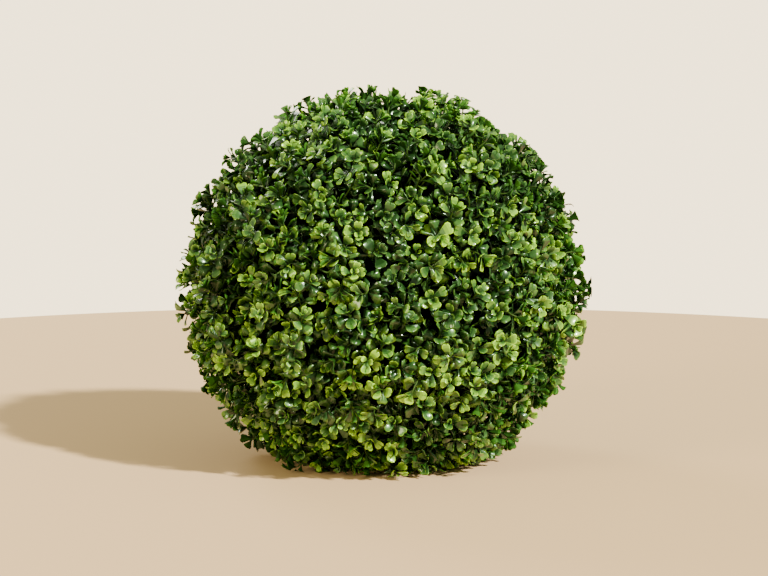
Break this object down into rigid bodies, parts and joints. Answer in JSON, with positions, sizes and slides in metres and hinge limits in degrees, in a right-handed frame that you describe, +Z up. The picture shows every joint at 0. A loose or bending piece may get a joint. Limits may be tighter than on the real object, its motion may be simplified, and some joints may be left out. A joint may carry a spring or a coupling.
{
  "type": "artificial box topiary ball",
  "caption": "Artificial box topiary ball: a round carrier on a short inner stem, covered all over by panels of moulded leaf sprays, flattened where it rests.",
  "frame": {"origin": "the middle of the flat cut under the stem, on the ground that the ball stands on", "axes": "+Z up along the stem, -Y towards the viewer, +X to the right"},
  "size_m": [0.4133, 0.4095, 0.3777],
  "materials": {
    "stem": "dark brown moulded plastic",
    "carrier": "near-black green moulded plastic",
    "foliage": "glossy moulded leaves, lime green at the tips and deep green below"
  },
  "bodies": {
    "root": {"stem": "stem", "carrier_lower": "carrier", "carrier_upper": "carrier", "foliage_top": "foliage", "foliage_upper_front": "foliage", "foliage_upper_right": "foliage", "foliage_upper_back_right": "foliage", "foliage_upper_back_left": "foliage", "foliage_upper_left": "foliage", "foliage_lower_front_right": "foliage", "foliage_lower_right": "foliage", "foliage_lower_back": "foliage", "foliage_lower_left": "foliage", "foliage_lower_front_left": "foliage", "foliage_base": "foliage"}
  },
  "joints": []
}
